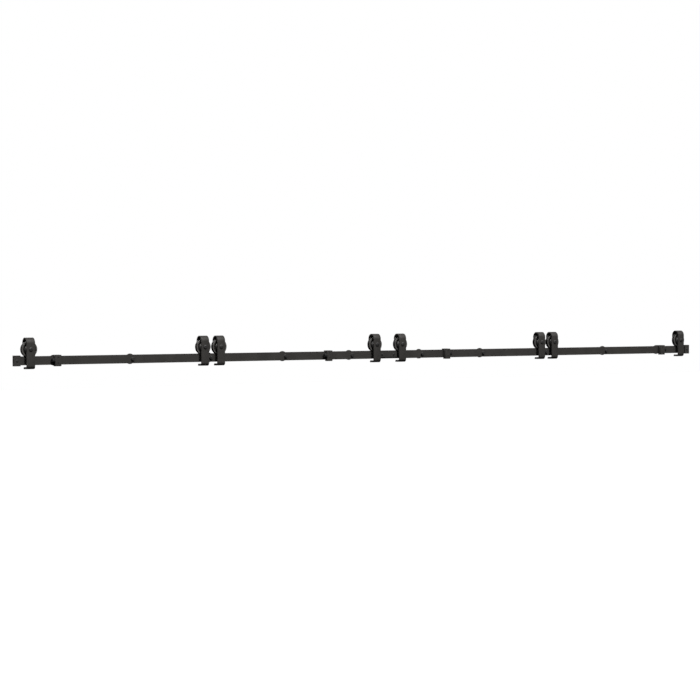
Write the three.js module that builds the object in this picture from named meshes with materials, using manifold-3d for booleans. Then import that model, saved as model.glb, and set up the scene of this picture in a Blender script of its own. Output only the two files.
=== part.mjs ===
// Sliding barn door hardware: a flat-bar track in two lengths, held off the wall by spacers, with
// eight top-mount roller hangers, four clamp-on door stops and an end stop at each end.
//
// Units are millimetres. +X runs along the track, +Y points into the wall and +Z is up. The origin is
// on the wall plane, at the middle of the track's length and level with the middle of the rail.
// The left half holds the pieces numbered first, and the right half mirrors it.

import * as THREE from 'three';
import { mergeVertices } from 'three/addons/utils/BufferGeometryUtils.js';
import Module from 'manifold-3d';

const wasm = await Module();
wasm.setup();

// ---- Driving dimensions ----

const GAP = 0.3; // clearance between pieces that touch

const RAIL_LENGTH = 2000; // each of the two lengths
const RAIL_HEIGHT = 40;
const RAIL_THICKNESS = 6;
const RAIL_STANDOFF = 29; // wall to the back of the rail
const WALL_POINTS = [-790, -409, 0, 409, 790]; // bolt holes, from the middle of each length

const SPACER_TUBE_RADIUS = 11;
const SPACER_FLANGE_RADIUS = 24.3;
const SPACER_FLANGE_THICKNESS = 6;

const LAG_SHANK_RADIUS = 4;
const LAG_HEAD_RADIUS = 8.6; // across the corners
const LAG_HEAD_HEIGHT = 5.5;
const LAG_WASHER_RADIUS = 10;
const LAG_WASHER_THICKNESS = 1.6;

const SPLICE_LENGTH = 104;
const SPLICE_HEIGHT = 26;
const SPLICE_THICKNESS = 3;
const SPLICE_SCREW_OFFSET = 34; // from the seam between the two rails
const SPLICE_SCREW_RADIUS = 3;
const SPLICE_HEAD_RADIUS = 6;
const SPLICE_HEAD_HEIGHT = 2.4;

const HANGER_OFFSETS = [-1923.6, -1042.6, -957, -76]; // hangers of the left half
const STRAP_WIDTH = 40;
const STRAP_THICKNESS = 6;
const STRAP_DEPTH = 51.4; // over the outside of the two legs
const STRAP_RISE = 52.4; // axle to the top of the bend
const STRAP_DROP = 88.8; // axle to the underside of the foot
const BACK_LEG_DROP = 18; // axle to the end of the back leg
const FOOT_REACH = 17; // axle plane to the back end of the foot
const FOOT_BEND_RADIUS = 15; // outside of the bend
const FOOT_HOLE_RADIUS = 2.75;
const FOOT_HOLE_OFFSET = 11;

const WHEEL_RADIUS = 37.5;
const WHEEL_WIDTH = 18;
const TREAD_RADIUS = 31;
const GROOVE_HALF_WIDTH = 3.6; // at the tread
const GROOVE_FLARE = 1; // how much wider each side is at the rim
const WHEEL_WEB_RECESS = 3;
const WHEEL_RIM_INNER = 31;
const WHEEL_HUB_RADIUS = 14; // at its ends
const WHEEL_HUB_BASE_RADIUS = 22.5; // where it meets the web
const WHEEL_HUB_CLEARANCE = 1; // hub to each leg of the strap
const RECESS_DRAFT = 1.5;

const AXLE_RADIUS = 5;
const AXLE_HEAD_RADIUS = 10;
const AXLE_HEAD_HEIGHT = 4.5;
const AXLE_TAIL = 4.8; // past the back leg

const STOP_WIDTH = 30;
const STOP_FRONT_DEPTH = 22.4; // front block, in front of the rail
const STOP_BACK_DEPTH = 6; // lip behind the rail
const STOP_LIP_DROP = 8; // how far the lip comes down, clear of the spacers
const STOP_ABOVE = 5; // above the rail
const STOP_BELOW = 6.5; // below the rail
const STOP_OFFSETS = [-1791, -353]; // stops of the left half
const STOP_POCKET_DEPTH = 9; // clears a lag bolt's head
const STOP_POCKET_RADIUS = 12;

const BUMPER_RADIUS = 11.5;
const BUMPER_LENGTH = 12;

const END_STOP_WIDTH = 32;
const END_STOP_PLATE = 5;
const END_STOP_BACK = 4;
const END_STOP_ABOVE = 4;
const END_STOP_BELOW = 4;
const END_STOP_INSET = 2; // from the end of the rail

// ---- Places worked out from them ----

const RAIL_Y = -RAIL_STANDOFF - RAIL_THICKNESS / 2; // middle plane of the rail
const RAIL_FRONT = RAIL_Y - RAIL_THICKNESS / 2;
const RAIL_TOP = RAIL_HEIGHT / 2;
const AXLE_Z = RAIL_TOP + TREAD_RADIUS + GAP;
const STRAP_OUTER = STRAP_DEPTH / 2;
const STRAP_INNER = STRAP_OUTER - STRAP_THICKNESS;

// ---- Finishes ----

function finish(hex, roughness, metalness) {
  return new THREE.MeshStandardMaterial({ color: hex, roughness, metalness });
}

const POWDER_COAT = finish(0x3a3938, 0.62, 0.35);
const BLACK_OXIDE = finish(0x45433f, 0.45, 0.8);
const RUBBER = finish(0x151515, 0.9, 0);

// ---- Solids ----

// Turns a closed three.js geometry into a solid that can be joined and cut.
function solid(geometry) {
  const bare = geometry.index ? geometry.clone() : geometry;
  bare.deleteAttribute('normal');
  bare.deleteAttribute('uv');
  const merged = mergeVertices(bare, 1e-4);
  const mesh = new wasm.Mesh({
    numProp: 3,
    vertProperties: new Float32Array(merged.attributes.position.array),
    triVerts: new Uint32Array(merged.index.array),
  });
  return new wasm.Manifold(mesh);
}

function geometryOf(body) {
  const mesh = body.getMesh();
  const geometry = new THREE.BufferGeometry();
  geometry.setAttribute('position', new THREE.BufferAttribute(mesh.vertProperties, 3));
  geometry.setIndex(new THREE.BufferAttribute(mesh.triVerts, 1));
  geometry.computeVertexNormals();
  return geometry;
}

function box(low, high) {
  const size = high.map((value, axis) => value - low[axis]);
  const middle = high.map((value, axis) => (value + low[axis]) / 2);
  return new THREE.BoxGeometry(...size).translate(...middle);
}

// A cylinder along Y from one place to another.
function rod(radius, from, to, sides, x = 0, z = 0) {
  return new THREE.CylinderGeometry(radius, radius, to - from, sides).translate(x, (from + to) / 2, z);
}

// A cylinder along Z, for holes in a level plate.
function post(radius, from, to, sides, x, y) {
  return new THREE.CylinderGeometry(radius, radius, to - from, sides)
    .rotateX(Math.PI / 2)
    .translate(x, y, (from + to) / 2);
}

function cut(body, ...tools) {
  return geometryOf(tools.reduce((rest, tool) => rest.subtract(solid(tool)), solid(body)));
}

// Turns a profile of [radius, y] points about the Y axis.
function turned(profile, sides) {
  return new THREE.LatheGeometry(profile.map(([r, y]) => new THREE.Vector2(r, y)), sides);
}

// ---- Track ----

// side is -1 for the left length and 1 for the right one.
function railGeometry(side) {
  const half = (RAIL_LENGTH - GAP / 2) / 2;
  const reach = RAIL_THICKNESS;
  const bar = box([-half, -RAIL_THICKNESS / 2, -RAIL_TOP], [half, RAIL_THICKNESS / 2, RAIL_TOP]);
  const holes = WALL_POINTS.map((x) => rod(LAG_SHANK_RADIUS + GAP, -reach, reach, 10, x));
  const spliceX = -side * (RAIL_LENGTH / 2 - SPLICE_SCREW_OFFSET);
  holes.push(rod(SPLICE_SCREW_RADIUS + GAP, -reach, reach, 10, spliceX));
  return cut(bar, ...holes);
}

// Lies on the front of both rails, low enough for the wheels' flanges to pass over it.
function splicePlateGeometry() {
  const front = -SPLICE_THICKNESS;
  const plate = box(
    [-SPLICE_LENGTH / 2, front, -SPLICE_HEIGHT / 2],
    [SPLICE_LENGTH / 2, 0, SPLICE_HEIGHT / 2],
  );
  const holes = [-SPLICE_SCREW_OFFSET, SPLICE_SCREW_OFFSET]
    .map((x) => rod(SPLICE_SCREW_RADIUS + GAP, front * 2, -front, 10, x));
  return cut(plate, ...holes);
}

// Origin under the head, with the shank running back through the plate and the rail.
function spliceScrewGeometry() {
  const reach = SPLICE_THICKNESS + 2 * GAP + RAIL_THICKNESS + 3;
  return turned([
    [0, -SPLICE_HEAD_HEIGHT],
    [SPLICE_HEAD_RADIUS * 0.7, -SPLICE_HEAD_HEIGHT],
    [SPLICE_HEAD_RADIUS, 0],
    [SPLICE_SCREW_RADIUS, 0],
    [SPLICE_SCREW_RADIUS, reach],
    [0, reach],
  ], 10);
}

// Origin on the wall, with the tube standing out to the back of the rail.
function spacerGeometry() {
  const bore = LAG_SHANK_RADIUS + GAP;
  const front = -(RAIL_STANDOFF - GAP);
  return turned([
    [bore, front],
    [SPACER_TUBE_RADIUS, front],
    [SPACER_TUBE_RADIUS, -SPACER_FLANGE_THICKNESS],
    [SPACER_FLANGE_RADIUS, -SPACER_FLANGE_THICKNESS],
    [SPACER_FLANGE_RADIUS, 0],
    [bore, 0],
    [bore, front],
  ], 16);
}

// Origin on the wall. The shank stops level with the wall plane.
function lagBoltGeometry() {
  const seat = RAIL_FRONT - GAP;
  const underHead = seat - LAG_WASHER_THICKNESS;
  const head = rod(LAG_HEAD_RADIUS, underHead - LAG_HEAD_HEIGHT, underHead, 6);
  const washer = rod(LAG_WASHER_RADIUS, underHead, seat, 12);
  const shank = rod(LAG_SHANK_RADIUS, seat, -GAP, 8);
  return geometryOf(solid(head).add(solid(washer)).add(solid(shank)));
}

// ---- Hanger ----
// Each piece has its origin on the axle, at the middle of the wheel.

// Steel strap bent over the wheel, down in front of the rail and back under it as a foot.
function strapGeometry() {
  const bendZ = STRAP_RISE - STRAP_OUTER;
  const footTop = -STRAP_DROP + STRAP_THICKNESS;
  const cornerY = -STRAP_OUTER + FOOT_BEND_RADIUS;
  const cornerZ = -STRAP_DROP + FOOT_BEND_RADIUS;
  const innerCorner = FOOT_BEND_RADIUS - STRAP_THICKNESS;
  const outline = new THREE.Shape();
  outline.moveTo(STRAP_OUTER, -BACK_LEG_DROP);
  outline.lineTo(STRAP_OUTER, bendZ);
  outline.absarc(0, bendZ, STRAP_OUTER, 0, Math.PI, false);
  outline.lineTo(-STRAP_OUTER, cornerZ);
  outline.absarc(cornerY, cornerZ, FOOT_BEND_RADIUS, Math.PI, 1.5 * Math.PI, false);
  outline.lineTo(FOOT_REACH, -STRAP_DROP);
  outline.lineTo(FOOT_REACH, footTop);
  outline.lineTo(cornerY, footTop);
  outline.absarc(cornerY, cornerZ, innerCorner, 1.5 * Math.PI, Math.PI, true);
  outline.lineTo(-STRAP_INNER, bendZ);
  outline.absarc(0, bendZ, STRAP_INNER, Math.PI, 0, true);
  outline.lineTo(STRAP_INNER, -BACK_LEG_DROP);
  outline.closePath();
  const alongX = new THREE.Matrix4().makeBasis(
    new THREE.Vector3(0, 1, 0),
    new THREE.Vector3(0, 0, 1),
    new THREE.Vector3(1, 0, 0),
  );
  const strap = new THREE.ExtrudeGeometry(outline, {
    depth: STRAP_WIDTH,
    bevelEnabled: false,
    curveSegments: 4,
  });
  strap.translate(0, 0, -STRAP_WIDTH / 2).applyMatrix4(alongX);
  const axleHole = rod(AXLE_RADIUS + GAP, -STRAP_DEPTH, STRAP_DEPTH, 10);
  const footMiddle = (FOOT_REACH - STRAP_INNER) / 2;
  const screwHoles = [-FOOT_HOLE_OFFSET, FOOT_HOLE_OFFSET].map((x) => (
    post(FOOT_HOLE_RADIUS, -STRAP_DROP - 1, footTop + 1, 8, x, footMiddle)
  ));
  return cut(strap, axleHole, ...screwHoles);
}

// Grooved wheel. The flanges hang past the rail's top edge on both sides, and a tapered hub fills
// the strap.
function wheelGeometry() {
  const face = WHEEL_WIDTH / 2;
  const web = face - WHEEL_WEB_RECESS;
  const hub = STRAP_INNER - WHEEL_HUB_CLEARANCE;
  const bore = AXLE_RADIUS + GAP;
  const half = [
    [bore, hub],
    [WHEEL_HUB_RADIUS, hub],
    [WHEEL_HUB_BASE_RADIUS, web],
    [WHEEL_RIM_INNER - RECESS_DRAFT, web],
    [WHEEL_RIM_INNER, face],
    [WHEEL_RADIUS, face],
    [WHEEL_RADIUS, GROOVE_HALF_WIDTH + GROOVE_FLARE],
    [TREAD_RADIUS, GROOVE_HALF_WIDTH],
  ];
  const front = half.map(([r, y]) => [r, -y]);
  return turned([...front, ...half.reverse(), front[0]], 20);
}

// Button-head bolt through both legs and the wheel.
function axleBoltGeometry() {
  const seat = -STRAP_OUTER - GAP;
  const tail = STRAP_OUTER + AXLE_TAIL;
  return turned([
    [0, seat - AXLE_HEAD_HEIGHT],
    [AXLE_HEAD_RADIUS * 0.65, seat - AXLE_HEAD_HEIGHT],
    [AXLE_HEAD_RADIUS, seat - 1],
    [AXLE_HEAD_RADIUS, seat],
    [AXLE_RADIUS, seat],
    [AXLE_RADIUS, tail],
    [0, tail],
  ], 12);
}

// ---- Stops ----
// Each piece has its origin at the middle of the rail's section.

// Block that hooks over the rail, with a pocket that clears a bolt head.
function doorStopGeometry() {
  const half = STOP_WIDTH / 2;
  const side = RAIL_THICKNESS / 2 + GAP;
  const block = box(
    [-half, -RAIL_THICKNESS / 2 - STOP_FRONT_DEPTH, -RAIL_TOP - STOP_BELOW],
    [half, RAIL_THICKNESS / 2 + STOP_BACK_DEPTH, RAIL_TOP + STOP_ABOVE],
  );
  const slot = box([-STOP_WIDTH, -side, -RAIL_HEIGHT], [STOP_WIDTH, side, RAIL_TOP + GAP]);
  const open = box([-STOP_WIDTH, -side, -RAIL_HEIGHT], [STOP_WIDTH, STOP_WIDTH, RAIL_TOP - STOP_LIP_DROP]);
  const pocket = rod(STOP_POCKET_RADIUS, -side - STOP_POCKET_DEPTH, 0, 12);
  return cut(block, slot, open, pocket);
}

// Round rubber bumper on the stop's side that faces the end of the track.
function bumperGeometry(side) {
  const middle = side * (STOP_WIDTH / 2 + GAP + BUMPER_LENGTH / 2);
  const y = -RAIL_THICKNESS / 2 - STOP_FRONT_DEPTH / 2 - 0.6;
  return new THREE.CylinderGeometry(BUMPER_RADIUS, BUMPER_RADIUS, BUMPER_LENGTH, 14)
    .rotateZ(Math.PI / 2)
    .translate(middle, y, 0);
}

// Plate folded over the end of the rail, which catches the wheel's flange.
function endStopGeometry() {
  const half = END_STOP_WIDTH / 2;
  const side = RAIL_THICKNESS / 2 + GAP;
  const clip = box(
    [-half, -side - END_STOP_PLATE, -RAIL_TOP - END_STOP_BELOW],
    [half, side + END_STOP_BACK, RAIL_TOP + END_STOP_ABOVE],
  );
  const slot = box([-END_STOP_WIDTH, -side, -RAIL_HEIGHT], [END_STOP_WIDTH, side, RAIL_TOP + GAP]);
  return cut(clip, slot);
}

// ---- Assembly ----

const assembly = new THREE.Group();

function place(parent, name, geometry, material, x = 0, y = 0, z = 0) {
  const mesh = new THREE.Mesh(geometry, material);
  mesh.name = name;
  mesh.position.set(x, y, z);
  parent.add(mesh);
}

const LEFT_AND_RIGHT = [['left', -1], ['right', 1]];

const track = new THREE.Group();
track.position.set(0, RAIL_Y, 0);
for (const [word, side] of LEFT_AND_RIGHT) {
  const railX = side * (RAIL_LENGTH / 2 + GAP / 4);
  place(track, `rail_${word}`, railGeometry(side), POWDER_COAT, railX);
  const endX = side * (RAIL_LENGTH - END_STOP_INSET - END_STOP_WIDTH / 2);
  place(track, `end_stop_${word}`, endStopGeometry(), POWDER_COAT, endX);
  const spliceFront = -RAIL_THICKNESS / 2 - 2 * GAP - SPLICE_THICKNESS;
  const screwX = side * SPLICE_SCREW_OFFSET;
  place(track, `splice_screw_${word}`, spliceScrewGeometry(), BLACK_OXIDE, screwX, spliceFront);
}
place(track, 'splice_plate', splicePlateGeometry(), POWDER_COAT, 0, -RAIL_THICKNESS / 2 - GAP);
assembly.add(track);

const wallPoints = LEFT_AND_RIGHT.flatMap(([, side]) => (
  WALL_POINTS.map((x) => x + side * (RAIL_LENGTH / 2 + GAP / 4))
));
wallPoints.forEach((x, index) => {
  place(assembly, `wall_spacer_${index + 1}`, spacerGeometry(), POWDER_COAT, x);
  place(assembly, `lag_bolt_${index + 1}`, lagBoltGeometry(), BLACK_OXIDE, x);
});

const hangerXs = [...HANGER_OFFSETS, ...HANGER_OFFSETS.map((x) => -x).reverse()];
hangerXs.forEach((x, index) => {
  const hanger = new THREE.Group();
  hanger.position.set(x, RAIL_Y, AXLE_Z);
  place(hanger, `hanger_strap_${index + 1}`, strapGeometry(), POWDER_COAT);
  place(hanger, `hanger_wheel_${index + 1}`, wheelGeometry(), POWDER_COAT);
  place(hanger, `axle_bolt_${index + 1}`, axleBoltGeometry(), BLACK_OXIDE);
  assembly.add(hanger);
});

const stopXs = [...STOP_OFFSETS, ...STOP_OFFSETS.map((x) => -x).reverse()];
stopXs.forEach((x, index) => {
  const stop = new THREE.Group();
  stop.position.set(x, RAIL_Y, 0);
  place(stop, `door_stop_${index + 1}`, doorStopGeometry(), POWDER_COAT);
  place(stop, `stop_bumper_${index + 1}`, bumperGeometry(Math.sign(x)), RUBBER);
  assembly.add(stop);
});

export default assembly;
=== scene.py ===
"""Looks of the sliding barn door hardware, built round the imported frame. Metres, +Z up, +Y into the wall."""
import math

import bmesh
import bpy
from mathutils import Matrix, Vector


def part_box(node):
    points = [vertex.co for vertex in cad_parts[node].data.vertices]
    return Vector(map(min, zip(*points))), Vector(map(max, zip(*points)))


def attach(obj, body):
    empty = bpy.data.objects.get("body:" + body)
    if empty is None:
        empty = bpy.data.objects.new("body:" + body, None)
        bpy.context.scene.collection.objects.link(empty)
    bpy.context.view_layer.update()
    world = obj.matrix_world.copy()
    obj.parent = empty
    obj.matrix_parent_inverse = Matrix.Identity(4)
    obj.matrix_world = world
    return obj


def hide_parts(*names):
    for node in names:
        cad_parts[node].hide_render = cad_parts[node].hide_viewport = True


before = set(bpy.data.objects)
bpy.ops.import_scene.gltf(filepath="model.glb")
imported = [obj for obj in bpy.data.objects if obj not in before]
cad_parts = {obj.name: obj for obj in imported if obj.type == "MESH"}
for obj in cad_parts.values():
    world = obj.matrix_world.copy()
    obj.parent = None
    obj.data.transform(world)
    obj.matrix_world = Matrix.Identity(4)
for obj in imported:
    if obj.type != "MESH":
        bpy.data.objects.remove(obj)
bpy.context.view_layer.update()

MM = 0.001

HANGERS = range(1, 9)
WALL_POINTS = range(1, 11)
STOPS = range(1, 5)
SIDES = ("left", "right")

# Sizes that the frame's boxes don't give. Radii and lengths, unless a comment says otherwise.
STRAP_THICKNESS = 6 * MM
STRAP_CORNER = 7 * MM           # rounding of the strap's ends, seen flat on
STRAP_EDGE = 0.9 * MM           # bevel
BACK_LEG_DROP = 18 * MM         # axle to the end of the back leg
FOOT_REACH = 17 * MM            # axle plane to the back end of the foot
FOOT_BEND = 12 * MM             # middle line of the foot's bend
FOOT_HOLE_OFFSET = 11 * MM
FOOT_HOLE_RADIUS = 2.75 * MM
FOOT_SINK_RADIUS = 6 * MM       # of the countersink, a little above the foot
FOOT_SINK_DEPTH = 3 * MM
PAD_THICKNESS = 3 * MM
PAD_FRONT = 15.5 * MM           # front of the strap to the front edge of the pad
PAD_INSET = 0.8 * MM            # pad's sides and back edge, inside the foot's
PAD_EDGE = 0.6 * MM             # bevel
PAD_LIFT = 0.05 * MM            # clear of the foot

TREAD_RADIUS = 31 * MM
WHEEL_FACE = 9 * MM             # half the rim's width
GROOVE_HALF = 3.6 * MM
GROOVE_FLARE = 1 * MM
WEB_RECESS = 3 * MM
HUB_RADIUS = 14 * MM            # at its ends
HUB_BASE_RADIUS = 22.5 * MM     # where it meets the web
HUB_POCKET = 1.2 * MM           # depth that the bearing sits in
RIM_INNER = 31 * MM
BEARING_RADIUS = 11 * MM
BEARING_LENGTH = 7 * MM
BEARING_SUNK = 0.6 * MM         # below the end of the hub
INNER_RACE = 6.7 * MM           # its outside
OUTER_RACE = 9.5 * MM           # its inside
AXLE_RADIUS = 5 * MM
AXLE_SLIP = 0.1 * MM            # between the axle and what is on it
AXLE_HEAD = 4.5 * MM            # height
HEAD_RIM = 1.2 * MM             # upright edge of the head, with its chamfer
WASHER_RADIUS = 6.6 * MM
HANGER_GAP = 0.15 * MM          # between hub, washer, strap and nut

SPACER_TUBE = 11 * MM
SPACER_FLANGE = 6 * MM          # thickness
LAG_BORE = 4.3 * MM
LAG_SHANK = 4 * MM
LAG_HEAD = 5.5 * MM             # height down to the washer face
LAG_WASHER = 1.6 * MM           # thickness
SPLICE_HEAD = 2.4 * MM          # height
RAIL_EDGE = 0.6 * MM            # bevel
SPLICE_EDGE = 0.7 * MM          # bevel

STOP_EDGE = 1.6 * MM            # bevel
END_STOP_EDGE = 0.9 * MM        # bevel
LIP_DROP = 8 * MM               # how far a stop's lip comes down behind the rail
RAIL_GAP = 0.3 * MM             # between a stop and the rail
POCKET_RADIUS = 12 * MM         # recess in the stop's rail side
POCKET_DEPTH = 9 * MM
SET_SCREW_OFFSET = 13 * MM      # above and below the middle of the rail
SET_SCREW_RADIUS = 3.4 * MM
SET_SCREW_SUNK = 1.1 * MM
SCREW_HOLE = 3.6 * MM           # for the set screws, and down the bumper's middle
SCREW_HOLE_DEPTH = 4 * MM
SCREW_HOLE_MOUTH = 4.3 * MM
BUMPER_RIB = 0.9 * MM           # how far the rib stands out
BUMPER_SCREW_SUNK = 3.8 * MM

# How finely shapes are drawn
LATHE_STEPS = 72
CORNER_STEPS = 7
STRAP_BEND_STEPS = 40
FOOT_BEND_STEPS = 12
WELD = 1e-7                     # points closer than this are one
SMOOTH_BELOW = math.radians(32)
HEX_SMOOTH_BELOW = math.radians(20)
BEVEL_ABOVE = math.radians(60)
STRAP_BEVEL_ABOVE = math.radians(50)


# ---- Materials ----

COPY_SHIFT = (7.0, 3.0, 5.0)    # most that a copy's pattern moves, in metres
FLAT_TURN = 0.99                # rounded normal times true normal, away from any edge
EDGE_TURN = 0.75                # and where an edge is sharp
WHITE = (1.0, 1.0, 1.0, 1.0)


class Nodes:
    """A short way to write a material's node tree."""

    def __init__(self, name):
        self.material = bpy.data.materials.new(name)
        self.material.use_nodes = True
        self.tree = self.material.node_tree
        self.shader = self.tree.nodes["Principled BSDF"]

    def add(self, kind, inputs=(), **settings):
        node = self.tree.nodes.new(kind)
        for key, value in settings.items():
            setattr(node, key, value)
        for key, value in dict(inputs).items():
            self.feed(node.inputs[key], value)
        return node

    def feed(self, socket, value):
        if isinstance(value, bpy.types.NodeSocket):
            self.tree.links.new(value, socket)
        else:
            socket.default_value = value

    def math(self, operation, first, second=0.0):
        return self.add("ShaderNodeMath", {0: first, 1: second}, operation=operation).outputs[0]

    def ramp(self, value, low, high, start=0.0, end=1.0):
        node = self.add("ShaderNodeMapRange", {
            "Value": value, "From Min": low, "From Max": high, "To Min": start, "To Max": end,
        })
        return node.outputs[0]

    def noise(self, place, scale, detail=3.0, roughness=0.5):
        node = self.add("ShaderNodeTexNoise", {
            "Vector": place, "Scale": scale, "Detail": detail, "Roughness": roughness,
        })
        return node.outputs["Fac"]

    def mix(self, share, first, second):
        """A blend of two colours, whose sockets come after the node's number and vector ones."""
        node = self.add("ShaderNodeMix", data_type="RGBA")
        self.feed(node.inputs[0], share)
        self.feed(node.inputs[6], first)
        self.feed(node.inputs[7], second)
        return node.outputs[2]

    def place(self):
        """Object coordinates, shifted by a fixed amount for each object so that copies don't match."""
        spot = self.add("ShaderNodeTexCoord").outputs["Object"]
        own = self.add("ShaderNodeObjectInfo").outputs["Random"]
        shift = self.add("ShaderNodeVectorMath", {0: COPY_SHIFT}, operation="SCALE")
        self.feed(shift.inputs["Scale"], own)
        total = self.add("ShaderNodeVectorMath", {0: spot, 1: shift.outputs[0]}, operation="ADD")
        return total.outputs[0]

    def edges(self, radius):
        """0 on a flat face, rising to 1 on a sharp outside edge."""
        soft = self.add("ShaderNodeBevel", {"Radius": radius}, samples=4).outputs[0]
        true = self.add("ShaderNodeNewGeometry").outputs["Normal"]
        turn = self.add("ShaderNodeVectorMath", {0: soft, 1: true}, operation="DOT_PRODUCT")
        return self.ramp(turn.outputs["Value"], FLAT_TURN, EDGE_TURN)

    def bump(self, height, distance, strength, below=None):
        node = self.add("ShaderNodeBump", {"Height": height, "Distance": distance, "Strength": strength})
        if below is not None:
            self.feed(node.inputs["Normal"], below)
        return node.outputs[0]

    def finish(self, colour, roughness, normal, specular, metallic=0.0):
        self.feed(self.shader.inputs["Base Color"], colour)
        self.feed(self.shader.inputs["Roughness"], roughness)
        self.feed(self.shader.inputs["Normal"], normal)
        self.shader.inputs["Metallic"].default_value = metallic
        self.shader.inputs["Specular IOR Level"].default_value = specular
        return self.material


def grey(value, warmth=0.07):
    """A grey with a little more red and less blue."""
    return (value * (1 + warmth), value, value * (1 - warmth), 1.0)


def powder_coat():
    """Matte black powder coat: fine orange peel, faint speckle, paler where edges rub."""
    n = Nodes("powder_coat")
    spot = n.place()
    patches = n.noise(spot, 14.0, 4.0)
    speckle = n.noise(spot, 1500.0, 2.0, 0.6)
    peel = n.noise(spot, 620.0, 2.0, 0.45)
    base = n.mix(n.ramp(patches, 0.3, 0.7), grey(0.032), grey(0.042))
    base = n.mix(n.ramp(speckle, 0.62, 0.80, 0.0, 0.5), base, grey(0.085))
    rub = n.math("MULTIPLY", n.edges(1.4 * MM), n.ramp(n.noise(spot, 160.0, 5.0, 0.7), 0.42, 0.66))
    base = n.mix(n.math("MULTIPLY", rub, 0.55), base, grey(0.16, 0.02))
    rough = n.ramp(n.noise(spot, 45.0, 5.0, 0.6), 0.3, 0.7, 0.52, 0.66)
    rough = n.math("SUBTRACT", rough, n.math("MULTIPLY", rub, 0.14))
    normal = n.bump(peel, 0.06 * MM, 0.7)
    normal = n.bump(speckle, 0.02 * MM, 0.5, normal)
    return n.finish(base, rough, normal, specular=0.32)


def wheel_steel():
    """Turned and blackened steel: faint rings, paler ground rim faces, a rubbed line where it runs."""
    n = Nodes("wheel_steel")
    spot = n.add("ShaderNodeTexCoord").outputs["Object"]
    parts = n.add("ShaderNodeSeparateXYZ", {0: spot}).outputs
    across = n.add("ShaderNodeCombineXYZ", {"X": parts["X"], "Y": 0.0, "Z": parts["Z"]}).outputs[0]
    radius = n.add("ShaderNodeVectorMath", {0: across}, operation="LENGTH").outputs["Value"]
    ring_spot = n.add("ShaderNodeCombineXYZ", {"X": radius, "Y": parts["Y"], "Z": 0.0}).outputs[0]
    rings = n.noise(ring_spot, 2600.0, 2.0, 0.6)
    smudge = n.noise(n.place(), 60.0, 5.0, 0.6)
    on_face = n.ramp(n.math("ABSOLUTE", parts["Y"]), WHEEL_FACE - 0.9 * MM, WHEEL_FACE - 0.3 * MM)
    ground = n.mix(n.ramp(rings, 0.35, 0.75), grey(0.080), grey(0.125, 0.03))
    base = n.mix(n.ramp(smudge, 0.3, 0.7), grey(0.010), grey(0.018))
    base = n.mix(on_face, base, ground)
    in_groove = n.ramp(radius, TREAD_RADIUS + 1.6 * MM, TREAD_RADIUS + 0.4 * MM)
    near_rail = n.ramp(n.math("ABSOLUTE", parts["Y"]), GROOVE_HALF + 0.4 * MM, GROOVE_HALF - 0.4 * MM)
    run = n.math("MULTIPLY", n.math("MULTIPLY", in_groove, near_rail), n.ramp(smudge, 0.35, 0.6, 0.35, 0.8))
    base = n.mix(run, base, grey(0.075, 0.01))
    rub = n.math("MULTIPLY", n.edges(1.2 * MM), n.ramp(smudge, 0.42, 0.62))
    base = n.mix(n.math("MULTIPLY", rub, 0.4), base, grey(0.12, 0.02))
    rough = n.ramp(rings, 0.3, 0.7, 0.46, 0.6)
    normal = n.bump(rings, 0.03 * MM, 0.5)
    return n.finish(base, rough, normal, specular=0.35, metallic=0.15)


def black_oxide():
    """Black oxide on the fasteners: mottled, a little glossier than the coat, with worn corners."""
    n = Nodes("black_oxide")
    spot = n.place()
    mottle = n.noise(spot, 260.0, 5.0, 0.62)
    fine = n.noise(spot, 1900.0, 2.0)
    base = n.mix(n.ramp(mottle, 0.35, 0.68), grey(0.028, 0.02), grey(0.06, 0.03))
    rub = n.math("MULTIPLY", n.edges(0.9 * MM), n.ramp(mottle, 0.4, 0.58))
    base = n.mix(n.math("MULTIPLY", rub, 0.6), base, grey(0.18, 0.02))
    rough = n.ramp(mottle, 0.3, 0.7, 0.48, 0.60)
    normal = n.bump(fine, 0.02 * MM, 0.5)
    return n.finish(base, rough, normal, specular=0.4, metallic=0.35)


def bare_steel():
    """Ground hub ends, bearings and washers, with fine scratches."""
    n = Nodes("bare_steel")
    spot = n.place()
    stretch = n.add("ShaderNodeVectorMath", {0: spot, 1: (1.0, 14.0, 1.0)}, operation="MULTIPLY")
    scratch = n.noise(stretch.outputs[0], 700.0, 3.0, 0.6)
    base = n.mix(n.ramp(scratch, 0.3, 0.7), grey(0.07, 0.03), grey(0.11, 0.03))
    rough = n.ramp(scratch, 0.3, 0.7, 0.40, 0.54)
    normal = n.bump(scratch, 0.01 * MM, 0.4)
    return n.finish(base, rough, normal, specular=0.5, metallic=0.5)


def rubber():
    """Moulded black rubber with a dusty bloom and a fine grain."""
    n = Nodes("rubber")
    spot = n.place()
    grain = n.noise(spot, 1300.0, 3.0, 0.6)
    bloom = n.noise(spot, 90.0, 4.0, 0.6)
    base = n.mix(n.ramp(bloom, 0.4, 0.75), grey(0.011, 0.0), grey(0.024, 0.02))
    rough = n.ramp(bloom, 0.3, 0.7, 0.78, 0.92)
    normal = n.bump(grain, 0.04 * MM, 0.6)
    return n.finish(base, rough, normal, specular=0.3)


def floor_paint():
    """Pale studio floor with a barely visible mottle."""
    n = Nodes("studio_floor")
    spot = n.add("ShaderNodeTexCoord").outputs["Object"]
    mottle = n.noise(spot, 1.2, 3.0)
    base = n.mix(mottle, grey(0.86, 0.0), grey(0.92, 0.0))
    normal = n.bump(n.noise(spot, 300.0), 0.1 * MM, 0.2)
    n.shader.inputs["Emission Color"].default_value = WHITE
    n.shader.inputs["Emission Strength"].default_value = 0.55
    return n.finish(base, 0.9, normal, specular=0.1)


POWDER_COAT = powder_coat()
WHEEL_STEEL = wheel_steel()
BLACK_OXIDE = black_oxide()
BARE_STEEL = bare_steel()
RUBBER = rubber()


# ---- Mesh helpers ----

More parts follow.
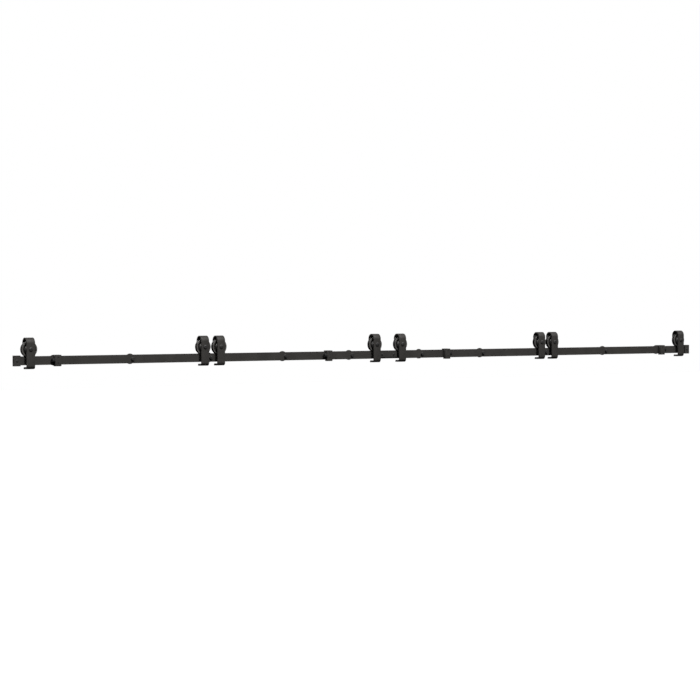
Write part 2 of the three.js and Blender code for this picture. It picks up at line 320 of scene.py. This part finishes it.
def shade(mesh, angle=SMOOTH_BELOW):
    """Smooth faces, with edges sharper than the angle kept crisp."""
    work = bmesh.new()
    work.from_mesh(mesh)
    for face in work.faces:
        face.smooth = True
    for edge in work.edges:
        edge.smooth = len(edge.link_faces) == 2 and edge.calc_face_angle(0.0) < angle
    work.to_mesh(mesh)
    work.free()
    return mesh


def mesh_from(name, points, faces):
    """A mesh with doubled points joined and its faces turned outwards."""
    mesh = bpy.data.meshes.new(name)
    mesh.from_pydata(points, [], faces)
    work = bmesh.new()
    work.from_mesh(mesh)
    bmesh.ops.remove_doubles(work, verts=work.verts, dist=WELD)
    bmesh.ops.recalc_face_normals(work, faces=work.faces)
    work.to_mesh(mesh)
    work.free()
    return mesh


def baked(mesh, kind, settings):
    """The mesh with a modifier of that kind applied."""
    holder = bpy.data.objects.new("holder", mesh)
    bpy.context.scene.collection.objects.link(holder)
    modifier = holder.modifiers.new(kind.lower(), kind)
    for key, value in settings.items():
        setattr(modifier, key, value)
    graph = bpy.context.evaluated_depsgraph_get()
    result = bpy.data.meshes.new_from_object(holder.evaluated_get(graph))
    bpy.data.objects.remove(holder)
    return result


def bevelled(mesh, width, segments=3, angle=BEVEL_ABOVE):
    """The mesh with a bevel on each edge sharper than the angle."""
    settings = {"width": width, "segments": segments, "limit_method": "ANGLE", "angle_limit": angle}
    return baked(mesh, "BEVEL", settings)


def cut(mesh, *tools, operation="DIFFERENCE"):
    """The mesh with each tool mesh cut out of it, or joined to it by another operation."""
    for tool in tools:
        holder = bpy.data.objects.new("tool", tool)
        bpy.context.scene.collection.objects.link(holder)
        mesh = baked(mesh, "BOOLEAN", {"operation": operation, "object": holder, "solver": "EXACT"})
        bpy.data.objects.remove(holder)
    return mesh


def rounded(corners, closed=False, steps=5):
    """A profile from (x, y, fillet) corners, with each fillet as an arc."""
    points = []
    count = len(corners)
    for index, (x, y, fillet) in enumerate(corners):
        at_end = not closed and index in (0, count - 1)
        if at_end or fillet <= 0:
            points.append((x, y))
            continue
        here = Vector((x, y))
        back = (Vector(corners[index - 1][:2]) - here).normalized()
        ahead = (Vector(corners[(index + 1) % count][:2]) - here).normalized()
        half = back.angle(ahead) / 2
        reach = fillet / math.tan(half)
        start = here + back * reach
        end = here + ahead * reach
        centre = here + (back + ahead).normalized() * (fillet / math.sin(half))
        first = start - centre
        sweep = first.angle_signed(end - centre)
        for step in range(steps + 1):
            turn = -sweep * step / steps
            cosine, sine = math.cos(turn), math.sin(turn)
            points.append((
                centre.x + first.x * cosine - first.y * sine,
                centre.y + first.x * sine + first.y * cosine,
            ))
    return points


def turned(name, profile, closed=False, steps=LATHE_STEPS, axis="Y"):
    """Turns (radius, distance) points about an axis. An open profile starts and ends on the axis."""
    points = []
    for step in range(steps):
        angle = 2 * math.pi * step / steps
        for radius, distance in profile:
            u, v = radius * math.cos(angle), radius * math.sin(angle)
            points.append((u, distance, v) if axis == "Y" else (distance, u, v))
    count = len(profile)
    faces = []
    for step in range(steps):
        here, there = step * count, (step + 1) % steps * count
        for index in range(count if closed else count - 1):
            after = (index + 1) % count
            faces.append((here + index, here + after, there + after, there + index))
    mesh = mesh_from(name, points, faces)
    work = bmesh.new()
    work.from_mesh(mesh)
    bmesh.ops.dissolve_degenerate(work, edges=work.edges, dist=WELD)
    bmesh.ops.recalc_face_normals(work, faces=work.faces)
    work.to_mesh(mesh)
    work.free()
    return mesh


def prism(name, outline, low, high, axis="Y"):
    """A straight prism over a flat outline: in X and Z for axis Y, in Y and Z for X, in X and Y for Z."""
    order = {
        "Y": lambda a, b, c: (a, c, b),
        "X": lambda a, b, c: (c, a, b),
        "Z": lambda a, b, c: (a, b, c),
    }[axis]
    count = len(outline)
    points = [order(a, b, c) for c in (low, high) for a, b in outline]
    faces = [tuple(range(count)), tuple(range(count, 2 * count))]
    faces += [(i, (i + 1) % count, count + (i + 1) % count, count + i) for i in range(count)]
    return mesh_from(name, points, faces)


def polygon(radius, sides, turn=0.0, x=0.0, y=0.0):
    """A regular polygon about (x, y)."""
    return [(
        x + radius * math.cos(turn + 2 * math.pi * i / sides),
        y + radius * math.sin(turn + 2 * math.pi * i / sides),
    ) for i in range(sides)]


def move(x, y, z):
    return Matrix.Translation((x, y, z))


def stand_up(x, y, z):
    """Turns a shape made about Y to stand about Z, and moves it."""
    return move(x, y, z) @ Matrix.Rotation(math.pi / 2, 4, "X")


def piece(name, mesh, material, body, place, node=None):
    """A finished piece at its place, riding on its body. A mesh that has materials keeps them."""
    if not mesh.materials:
        mesh.materials.append(material)
    thing = bpy.data.objects.new(name, mesh)
    bpy.context.scene.collection.objects.link(thing)
    thing.location = place
    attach(thing, body)
    if node:
        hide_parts(node)
    return thing


def middle(node):
    """Middle of a CAD node's box."""
    low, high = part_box(node)
    return (low + high) / 2


def size(node):
    """Size of a CAD node's box."""
    low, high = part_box(node)
    return high - low


# ---- Hanger pieces, each about the axle at the wheel's middle ----

def strap_stations(outer, rise, drop):
    """Middle line of the strap as (y, z, outward y, outward z), from the back leg to the foot's end."""
    run = outer - STRAP_THICKNESS / 2
    bend_z = rise - outer
    foot_z = -drop + STRAP_THICKNESS / 2
    stations = []

    def straight(start, end, out, ends=()):
        length = (Vector(end) - Vector(start)).length
        shares = {0.0, 1.0}
        for side in ends:
            for step in range(1, CORNER_STEPS + 1):
                gap = STRAP_CORNER * (1 - math.cos(math.pi / 2 * step / CORNER_STEPS)) / length
                shares.add(gap if side == 0 else 1 - gap)
        for share in sorted(shares):
            y = start[0] + (end[0] - start[0]) * share
            z = start[1] + (end[1] - start[1]) * share
            stations.append((y, z, *out))

    def arc(centre, radius, start, end, steps):
        for step in range(1, steps):
            angle = start + (end - start) * step / steps
            out = (math.cos(angle), math.sin(angle))
            stations.append((centre[0] + radius * out[0], centre[1] + radius * out[1], *out))

    corner = (-run + FOOT_BEND, foot_z + FOOT_BEND)
    straight((run, -BACK_LEG_DROP), (run, bend_z), (1, 0), ends=(0,))
    arc((0, bend_z), run, 0, math.pi, STRAP_BEND_STEPS)
    straight((-run, bend_z), (-run, corner[1]), (-1, 0))
    arc(corner, FOOT_BEND, math.pi, 1.5 * math.pi, FOOT_BEND_STEPS)
    straight((corner[0], foot_z), (FOOT_REACH, foot_z), (0, -1), ends=(1,))
    return stations


def foot_holes(outer):
    """Middles of the two holes through the foot, for a strap that reaches that far from its axle."""
    y = (FOOT_REACH - outer + STRAP_THICKNESS) / 2
    return [(-FOOT_HOLE_OFFSET, y), (FOOT_HOLE_OFFSET, y)]


def strap_mesh(node_strap, axle):
    """Strap bent over the wheel, its ends rounded, with two countersunk holes in the foot."""
    low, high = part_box(node_strap)
    half_width = (high.x - low.x) / 2
    outer = (high.y - low.y) / 2
    stations = strap_stations(outer, high.z - axle.z, axle.z - low.z)
    places = [Vector(station[:2]) for station in stations]
    lengths = [0.0]
    for before, after in zip(places, places[1:]):
        lengths.append(lengths[-1] + (after - before).length)
    total = lengths[-1]
    points = []
    for (y, z, out_y, out_z), along in zip(stations, lengths):
        from_end = min(along, total - along)
        short = max(0.0, STRAP_CORNER - from_end)
        width = half_width - STRAP_CORNER + math.sqrt(max(0.0, STRAP_CORNER ** 2 - short ** 2))
        for side, half in ((-1, 1), (1, 1), (1, -1), (-1, -1)):
            reach = half * STRAP_THICKNESS / 2
            points.append((side * width, y + out_y * reach, z + out_z * reach))
    faces = [(0, 1, 2, 3)]
    for index in range(len(stations) - 1):
        a, b = index * 4, index * 4 + 4
        for corner in range(4):
            after = (corner + 1) % 4
            faces.append((a + corner, a + after, b + after, b + corner))
    last = (len(stations) - 1) * 4
    faces.append((last + 3, last + 2, last + 1, last))
    mesh = bevelled(mesh_from("strap", points, faces), STRAP_EDGE, angle=STRAP_BEVEL_ABOVE)
    drop = low.z - axle.z
    tools = []
    for x, y in foot_holes(outer):
        hole = polygon(FOOT_HOLE_RADIUS, 32, 0.0, x, y)
        tools.append(prism("hole", hole, drop - MM, drop + STRAP_THICKNESS + MM, "Z"))
        above = FOOT_SINK_DEPTH + 0.4 * MM
        sink = turned("sink", [
            (0.0, -0.5 * MM),
            (FOOT_HOLE_RADIUS - 0.5 * MM, -0.5 * MM),
            (FOOT_SINK_RADIUS, above),
            (0.0, above),
        ], steps=32)
        sink.transform(stand_up(x, y, drop + STRAP_THICKNESS - FOOT_SINK_DEPTH))
        tools.append(sink)
    return shade(cut(mesh, *tools))


def wheel_mesh(node_wheel):
    """Grooved wheel with a thin web and a tapered hub. The outside of the hub is bare steel."""
    low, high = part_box(node_wheel)
    radius, hub = (high.z - low.z) / 2, (high.y - low.y) / 2
    web = WHEEL_FACE - WEB_RECESS
    half = [
        (BEARING_RADIUS, hub - HUB_POCKET, 0.0),
        (BEARING_RADIUS, hub, 0.4 * MM),
        (HUB_RADIUS, hub, 0.8 * MM),
        (HUB_BASE_RADIUS, web, 1.0 * MM),
        (RIM_INNER - 1.0 * MM, web, 1.0 * MM),
        (RIM_INNER, WHEEL_FACE, 0.5 * MM),
        (radius, WHEEL_FACE, 1.0 * MM),
        (radius, GROOVE_HALF + GROOVE_FLARE, 0.8 * MM),
        (TREAD_RADIUS, GROOVE_HALF, 0.7 * MM),
    ]
    front = [(r, -y, fillet) for r, y, fillet in half]
    mesh = turned("wheel", rounded(front + half[::-1], closed=True), closed=True, steps=96)
    mesh.materials.append(WHEEL_STEEL)
    mesh.materials.append(BARE_STEEL)
    # the hub's ends and taper, down to the fillet at its foot
    for face in mesh.polygons:
        x, y, z = face.center
        on_hub = math.hypot(x, z) < HUB_BASE_RADIUS - 0.8 * MM and abs(y) > web + 0.4 * MM
        face.material_index = 1 if on_hub else 0
    return shade(mesh)


def bearing_mesh():
    """Sealed bearing seen end on: outer race, sunk seal and inner race. It faces -Y."""
    bore = AXLE_RADIUS + AXLE_SLIP
    outside = BEARING_RADIUS - 0.05 * MM
    profile = rounded([
        (bore, BEARING_LENGTH, 0.0),
        (bore, 0.0, 0.3 * MM),
        (INNER_RACE, 0.0, 0.2 * MM),
        (INNER_RACE, 0.5 * MM, 0.0),
        (7.6 * MM, 0.9 * MM, 0.2 * MM),
        (8.8 * MM, 0.6 * MM, 0.2 * MM),
        (OUTER_RACE, 0.7 * MM, 0.0),
        (OUTER_RACE, 0.0, 0.2 * MM),
        (outside, 0.0, 0.3 * MM),
        (outside, BEARING_LENGTH, 0.0),
    ], closed=True, steps=3)
    return shade(turned("bearing", profile, closed=True))


def washer_mesh(thick):
    """Thin washer on the axle, between the bearing's inner race and the strap."""
    bore = AXLE_RADIUS + AXLE_SLIP
    profile = rounded([
        (bore, 0.0, 0.0),
        (WASHER_RADIUS, 0.0, 0.2 * MM),
        (WASHER_RADIUS, thick, 0.2 * MM),
        (bore, thick, 0.0),
    ], closed=True, steps=3)
    return shade(turned("washer", profile, closed=True, steps=48))


def foot_pad_mesh(node_strap, axle):
    """Doubling plate that lies on the foot, with the same two holes."""
    low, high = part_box(node_strap)
    outer = (high.y - low.y) / 2
    half = (high.x - low.x) / 2 - PAD_INSET
    front = PAD_FRONT - outer
    back = FOOT_REACH - PAD_INSET
    under = low.z - axle.z + STRAP_THICKNESS + PAD_LIFT
    outline = rounded([
        (-half, front, 1.5 * MM),
        (half, front, 1.5 * MM),
        (half, back, STRAP_CORNER),
        (-half, back, STRAP_CORNER),
    ], closed=True, steps=8)
    plate = bevelled(prism("foot_pad", outline, under, under + PAD_THICKNESS, "Z"), PAD_EDGE)
    bore = FOOT_HOLE_RADIUS + 0.4 * MM
    top = PAD_THICKNESS + MM
    tools = []
    for x, y in foot_holes(outer):
        hole = turned("hole", [
            (0.0, -MM),
            (bore, -MM),
            (bore, PAD_THICKNESS - 0.7 * MM),
            (FOOT_HOLE_RADIUS + 2.1 * MM, top),
            (0.0, top),
        ], steps=32)
        hole.transform(stand_up(x, y, under))
        tools.append(hole)
    return shade(cut(plate, *tools))


def socket_tool(across, depth, face):
    """A hexagonal socket to cut into a head whose face is at that Y."""
    return prism("socket", polygon(across / math.sqrt(3), 6, math.pi / 6), face - MM, face + depth)


def axle_bolt_mesh(node_bolt, axle):
    """Bolt with a domed socket head, through the strap's two legs."""
    low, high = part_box(node_bolt)
    radius = (high.x - low.x) / 2
    front, tail = low.y - axle.y, high.y - axle.y
    seat = front + AXLE_HEAD
    rise = seat - HEAD_RIM - front
    turns = [math.radians(90) * step / 10 for step in range(11)]
    dome = [(radius * math.sin(turn), front + rise * (1 - math.cos(turn))) for turn in turns]
    profile = dome + [
        (radius, seat - 0.3 * MM),
        (radius - 0.3 * MM, seat),
        (AXLE_RADIUS, seat),
        (AXLE_RADIUS, tail - 0.8 * MM),
        (AXLE_RADIUS - 0.8 * MM, tail),
        (0.0, tail),
    ]
    socket = socket_tool(across=6 * MM, depth=2.6 * MM, face=front)
    return shade(cut(turned("axle_bolt", profile), socket))


def hex_nut_mesh(across, bore, height):
    """A hexagonal nut standing from Y = 0 towards +Y, with its corners turned off at both ends."""
    corner = across / math.sqrt(3)
    rim = (across / 2) * 0.98
    past = corner * 1.01
    chamfer = height * 0.16
    shell = turned("shell", [
        (0.0, 0.0),
        (rim, 0.0),
        (past, chamfer),
        (past, height - chamfer),
        (rim, height),
        (0.0, height),
    ])
    body = cut(prism("nut", polygon(corner, 6), 0.0, height), shell, operation="INTERSECT")
    if bore:
        lead = 0.6 * MM
        mouth = bore + lead + MM
        tool = turned("bore", [
            (0.0, -MM),
            (mouth, -MM),
            (bore, lead),
            (bore, height - lead),
            (mouth, height + MM),
            (0.0, height + MM),
        ], steps=48)
        body = cut(body, tool)
    return shade(body, HEX_SMOOTH_BELOW)


def build_hangers():
    """Eight hangers that share the meshes made for the first."""
    axle = middle("hanger_wheel_1")
    strap = strap_mesh("hanger_strap_1", axle)
    wheel = wheel_mesh("hanger_wheel_1")
    bearing = bearing_mesh()
    bolt = axle_bolt_mesh("axle_bolt_1", axle)
    nut = hex_nut_mesh(across=16 * MM, bore=AXLE_RADIUS, height=4.4 * MM)
    pad = foot_pad_mesh("hanger_strap_1", axle)
    hub = size("hanger_wheel_1").y / 2
    outer = size("hanger_strap_1").y / 2
    thick = outer - STRAP_THICKNESS - hub - 2 * HANGER_GAP
    washer = washer_mesh(thick)
    for number in HANGERS:
        axle = middle(f"hanger_wheel_{number}")
        hanger, wheel_body = f"hanger_{number}", f"wheel_{number}"
        piece(f"strap_{number}", strap, POWDER_COAT, hanger, axle, f"hanger_strap_{number}")
        piece(f"axle_{number}", bolt, BLACK_OXIDE, hanger, axle, f"axle_bolt_{number}")
        piece(f"wheel_rim_{number}", wheel, WHEEL_STEEL, wheel_body, axle,
              f"hanger_wheel_{number}")
        piece(f"foot_pad_{number}", pad, POWDER_COAT, hanger, axle)
        nut_at = axle + Vector((0.0, outer + HANGER_GAP, 0.0))
        piece(f"axle_nut_{number}", nut, BLACK_OXIDE, hanger, nut_at)
        for word, side in (("front", -1), ("back", 1)):
            start = side * (hub + HANGER_GAP) - (thick if side < 0 else 0.0)
            piece(f"washer_{word}_{number}", washer, BARE_STEEL, hanger,
                  axle + Vector((0.0, start, 0.0)))
            seat = axle + Vector((0.0, side * (hub - BEARING_SUNK), 0.0))
            ring = piece(f"bearing_{word}_{number}", bearing, BARE_STEEL, wheel_body, seat)
            if side > 0:
                ring.rotation_euler = (0.0, 0.0, math.pi)
                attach(ring, wheel_body)


# ---- Track pieces ----

def spacer_mesh(node):
    """Tube from the wall to the rail, with a round flange on the wall."""
    low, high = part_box(node)
    length = high.y - low.y
    flange = (high.z - low.z) / 2
    profile = rounded([
        (LAG_BORE, -length, 0.3 * MM),
        (SPACER_TUBE, -length, 0.8 * MM),
        (SPACER_TUBE, -SPACER_FLANGE, 2.0 * MM),
        (flange, -SPACER_FLANGE, 1.6 * MM),
        (flange, 0.0, 0.6 * MM),
        (LAG_BORE, 0.0, 0.3 * MM),
    ], closed=True)
    return shade(turned("spacer", profile, closed=True, steps=96))


def lag_bolt_mesh(node):
    """Hexagonal head on a washer face, with the shank back to the wall."""
    low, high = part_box(node)
    washer = (high.x - low.x) / 2
    head = hex_nut_mesh(across=14.9 * MM, bore=0.0, height=LAG_HEAD + 0.3 * MM)
    head.transform(move(0.0, low.y, 0.0))
    seat = low.y + LAG_HEAD
    under = seat + LAG_WASHER
    profile = rounded([
        (0.0, seat, 0.0),
        (washer - 0.8 * MM, seat, 0.4 * MM),
        (washer, seat + 0.7 * MM, 0.3 * MM),
        (washer, under, 0.3 * MM),
        (LAG_SHANK, under, 0.0),
        (LAG_SHANK, high.y, 0.6 * MM),
        (0.0, high.y, 0.0),
    ])
    base = turned("lag_base", profile, steps=64)
    return shade(cut(base, head, operation="UNION"), HEX_SMOOTH_BELOW)


def build_wall_points():
    """A spacer and a lag bolt at each fixing point."""
    spacer = spacer_mesh("wall_spacer_1")
    bolt = lag_bolt_mesh("lag_bolt_1")
    for number in WALL_POINTS:
        place = Vector((middle(f"lag_bolt_{number}").x, 0.0, 0.0))
        piece(f"spacer_{number}", spacer, POWDER_COAT, "track", place,
              f"wall_spacer_{number}")
        piece(f"lag_{number}", bolt, BLACK_OXIDE, "track", place, f"lag_bolt_{number}")


def keep_cad(node, material, width):
    """A CAD node that stays, with a real material and softened edges."""
    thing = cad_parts[node]
    thing.data.materials.clear()
    thing.data.materials.append(material)
    bevel = thing.modifiers.new("soft_edges", "BEVEL")
    bevel.width = width
    bevel.segments = 3
    bevel.limit_method = "ANGLE"
    bevel.angle_limit = BEVEL_ABOVE
    bevel.harden_normals = True


def pan_screw_mesh(radius, height, shank, length, socket):
    """Low round head from Y = 0 forward, with a hexagonal socket and a shank back."""
    profile = rounded([
        (0.0, -height, 0.0),
        (radius * 0.72, -height, height * 0.5),
        (radius, -height * 0.25, height * 0.2),
        (radius, 0.0, 0.0),
        (shank, 0.0, 0.0),
        (shank, length, 0.3 * MM),
        (0.0, length, 0.0),
    ])
    return shade(cut(turned("screw", profile, steps=48), socket_tool(socket, height * 0.8, -height)))


def build_rails():
    """Two rail lengths, and the plate and screws that join them."""
    for node in ("rail_left", "rail_right"):
        keep_cad(node, POWDER_COAT, RAIL_EDGE)
    keep_cad("splice_plate", POWDER_COAT, SPLICE_EDGE)
    low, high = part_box("splice_screw_left")
    screw = pan_screw_mesh(
        radius=(high.z - low.z) / 2,
        height=SPLICE_HEAD,
        shank=3 * MM,
        length=high.y - low.y - SPLICE_HEAD,
        socket=4 * MM,
    )
    for word in SIDES:
        low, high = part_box(f"splice_screw_{word}")
        place = Vector(((low.x + high.x) / 2, low.y + SPLICE_HEAD, (low.z + high.z) / 2))
        piece(f"splice_bolt_{word}", screw, BLACK_OXIDE, "track", place,
              f"splice_screw_{word}")


# ---- Stops ----

def hook_outline(low, high, slot_low, slot_high, slot_top, lip):
    """Side view of a block that hooks over the rail, in Y and Z."""
    return [
        (low.y, low.z),
        (slot_low, low.z),
        (slot_low, slot_top),
        (slot_high, slot_top),
        (slot_high, lip),
        (high.y, lip),
        (high.y, high.z),
        (low.y, high.z),
    ]


def stop_mesh(node):
    """Block hooked over the rail, with a recess on its rail side and two screw holes in front."""
    low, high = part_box(node)
    rail_low, rail_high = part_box("rail_left")
    slot = (rail_low.y - RAIL_GAP, rail_high.y + RAIL_GAP, rail_high.z + RAIL_GAP)
    shape = hook_outline(low, high, *slot, rail_high.z - LIP_DROP)
    half = (high.x - low.x) / 2
    body = bevelled(prism("stop", shape, -half, half, "X"), STOP_EDGE, 4)
    recess = polygon(POCKET_RADIUS, 48)
    tools = [prism("pocket", recess, rail_low.y - POCKET_DEPTH, rail_low.y + MM)]
    for z in (-SET_SCREW_OFFSET, SET_SCREW_OFFSET):
        hole = turned("seat", [
            (0.0, low.y - MM),
            (SCREW_HOLE_MOUTH, low.y - MM),
            (SCREW_HOLE, low.y + 0.6 * MM),
            (SCREW_HOLE, low.y + SCREW_HOLE_DEPTH),
            (0.0, low.y + SCREW_HOLE_DEPTH),
        ], steps=40)
        hole.transform(move(0.0, 0.0, z))
        tools.append(hole)
    return shade(cut(body, *tools))


def set_screw_mesh():
    """Flush socket screw. Its face is at Y = 0."""
    profile = rounded([
        (0.0, 0.0, 0.0),
        (SET_SCREW_RADIUS, 0.0, 0.5 * MM),
        (SET_SCREW_RADIUS, 3 * MM, 0.0),
        (0.0, 3 * MM, 0.0),
    ], steps=3)
    socket = socket_tool(across=3 * MM, depth=1.8 * MM, face=0.0)
    return shade(cut(turned("set_screw", profile, steps=40), socket))


def bumper_mesh(node):
    """Rubber bumper from X = 0 towards -X, with a rounded nose, a rib and a screw well."""
    low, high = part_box(node)
    length, radius = high.x - low.x, (high.z - low.z) / 2
    profile = rounded([
        (0.0, 0.0, 0.0),
        (radius, 0.0, 0.5 * MM),
        (radius, -length * 0.28, 0.4 * MM),
        (radius - BUMPER_RIB, -length * 0.36, 0.4 * MM),
        (radius - BUMPER_RIB, -length, 3.2 * MM),
        (4.2 * MM, -length, 0.8 * MM),
        (SCREW_HOLE, -length + SCREW_HOLE_DEPTH, 0.5 * MM),
        (0.0, -length + SCREW_HOLE_DEPTH, 0.0),
    ])
    return shade(turned("bumper", profile, axis="X"))


def build_stops():
    """Four stops with their set screws, each with a bumper on the side that its box says."""
    stop = stop_mesh("door_stop_1")
    screw = set_screw_mesh()
    bumper = bumper_mesh("stop_bumper_1")
    sunk_screw = pan_screw_mesh(
        radius=3.2 * MM, height=1.6 * MM, shank=1.8 * MM, length=3 * MM, socket=2.4 * MM,
    )
    sunk_screw.transform(Matrix.Rotation(-math.pi / 2, 4, "Z"))     # from facing -Y to facing -X
    for number in STOPS:
        low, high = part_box(f"door_stop_{number}")
        x = (low.x + high.x) / 2
        piece(f"stop_{number}", stop, POWDER_COAT, "track", (x, 0.0, 0.0),
              f"door_stop_{number}")
        for word, z in (("low", -SET_SCREW_OFFSET), ("high", SET_SCREW_OFFSET)):
            piece(f"set_screw_{word}_{number}", screw, BLACK_OXIDE, "track",
                  (x, low.y + SET_SCREW_SUNK, z))
        soft_low, soft_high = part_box(f"stop_bumper_{number}")
        to_left = soft_low.x < low.x
        root = soft_high.x if to_left else soft_low.x
        nose = soft_low.x if to_left else soft_high.x
        centre = (soft_low + soft_high) / 2
        turn = 0.0 if to_left else math.pi
        soft = piece(f"bumper_{number}", bumper, RUBBER, "track",
                     (root, centre.y, centre.z), f"stop_bumper_{number}")
        soft.rotation_euler = (0.0, 0.0, turn)
        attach(soft, "track")
        sunk = BUMPER_SCREW_SUNK if to_left else -BUMPER_SCREW_SUNK
        pin = piece(f"bumper_screw_{number}", sunk_screw, BLACK_OXIDE, "track",
                    (nose + sunk, centre.y, centre.z))
        pin.rotation_euler = (0.0, 0.0, turn)
        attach(pin, "track")


def build_end_stops():
    """The two end stops, each with the head of the screw that clamps it."""
    screw = pan_screw_mesh(
        radius=6 * MM, height=2.6 * MM, shank=3 * MM, length=4 * MM, socket=4 * MM,
    )
    for word in SIDES:
        node = f"end_stop_{word}"
        keep_cad(node, POWDER_COAT, END_STOP_EDGE)
        low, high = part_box(node)
        place = ((low.x + high.x) / 2, low.y - 0.1 * MM, (low.z + high.z) / 2)
        piece(f"end_screw_{word}", screw, BLACK_OXIDE, "track", place)


# ---- Studio ----

CAMERA_AT = Vector((-5.464, -8.252, 0.269))
CAMERA_YAW = math.radians(32.531)     # from +Y towards +X
CAMERA_PITCH = math.radians(-1.433)
FOCAL_IN_WIDTHS = 1978.0 / 700.0      # focal length over picture width
SENSOR_WIDTH = 36.0                   # millimetres
CLIP_END = 100.0
FLOOR_DROP = 2.1                      # the height of a barn door below the rail
FLOOR_HALF = 40.0

# Name, the way the light travels, strength, and apparent size in degrees
SUNS = (
    ("key", (-0.08, 0.64, -0.766), 3.4, 14),
    ("left_fill", (0.74, 0.12, -0.66), 1.2, 25),
    ("back_fill", (0.12, -0.85, -0.5), 1.6, 30),
)

# The sky's light runs from dim below the horizon to brighter above it
SKY_BAND = 0.3                        # sine of the height at which it stops changing
SKY_BELOW = 0.015
SKY_ABOVE = 0.15


def build_camera():
    """Camera at the photograph's place and angle."""
    camera = bpy.data.cameras.new("camera")
    camera.sensor_width = SENSOR_WIDTH
    camera.lens = SENSOR_WIDTH * FOCAL_IN_WIDTHS
    camera.clip_end = CLIP_END
    holder = bpy.data.objects.new("camera", camera)
    bpy.context.scene.collection.objects.link(holder)
    ahead = Vector((
        math.sin(CAMERA_YAW) * math.cos(CAMERA_PITCH),
        math.cos(CAMERA_YAW) * math.cos(CAMERA_PITCH),
        math.sin(CAMERA_PITCH),
    ))
    holder.location = CAMERA_AT
    holder.rotation_mode = "QUATERNION"
    holder.rotation_quaternion = ahead.to_track_quat("-Z", "Y")
    bpy.context.scene.camera = holder


def build_sun(name, towards, strength, softness):
    """A sun that shines in a direction, as large in the sky as softness says."""
    light = bpy.data.lights.new(name, "SUN")
    light.energy = strength
    light.angle = math.radians(softness)
    holder = bpy.data.objects.new(name, light)
    bpy.context.scene.collection.objects.link(holder)
    holder.rotation_mode = "QUATERNION"
    holder.rotation_quaternion = Vector(towards).to_track_quat("-Z", "Y")


def build_floor():
    """Pale floor that is seen and catches shadows, and sends no light back to the object."""
    half = FLOOR_HALF
    corners = [(-half, -half), (half, -half), (half, half), (-half, half)]
    mesh = mesh_from("floor", [(x, y, 0.0) for x, y in corners], [(0, 1, 2, 3)])
    mesh.materials.append(floor_paint())
    floor = bpy.data.objects.new("floor", mesh)
    floor.location = (0.0, 0.0, -FLOOR_DROP)
    floor.visible_diffuse = False
    floor.visible_glossy = False
    bpy.context.scene.collection.objects.link(floor)


def build_world():
    """White to the camera. As a light, it is dim below the horizon and brighter above it."""
    world = bpy.data.worlds.new("studio")
    bpy.context.scene.world = world
    world.use_nodes = True
    tree = world.node_tree
    tree.nodes.clear()
    seen = tree.nodes.new("ShaderNodeBackground")
    seen.inputs["Color"].default_value = WHITE
    fill = tree.nodes.new("ShaderNodeBackground")
    fill.inputs["Color"].default_value = WHITE
    towards = tree.nodes.new("ShaderNodeTexCoord")
    split = tree.nodes.new("ShaderNodeSeparateXYZ")
    dim = tree.nodes.new("ShaderNodeMapRange")
    dim.inputs["From Min"].default_value = -SKY_BAND
    dim.inputs["From Max"].default_value = SKY_BAND
    dim.inputs["To Min"].default_value = SKY_BELOW
    dim.inputs["To Max"].default_value = SKY_ABOVE
    tree.links.new(towards.outputs["Generated"], split.inputs[0])
    tree.links.new(split.outputs["Z"], dim.inputs["Value"])
    tree.links.new(dim.outputs[0], fill.inputs["Strength"])
    path = tree.nodes.new("ShaderNodeLightPath")
    blend = tree.nodes.new("ShaderNodeMixShader")
    out = tree.nodes.new("ShaderNodeOutputWorld")
    tree.links.new(path.outputs["Is Camera Ray"], blend.inputs[0])
    tree.links.new(fill.outputs[0], blend.inputs[1])
    tree.links.new(seen.outputs[0], blend.inputs[2])
    tree.links.new(blend.outputs[0], out.inputs["Surface"])


bpy.context.scene.view_settings.view_transform = "Standard"
build_camera()
build_floor()
for sun in SUNS:
    build_sun(*sun)
build_world()
build_rails()
build_wall_points()
build_hangers()
build_stops()
build_end_stops()
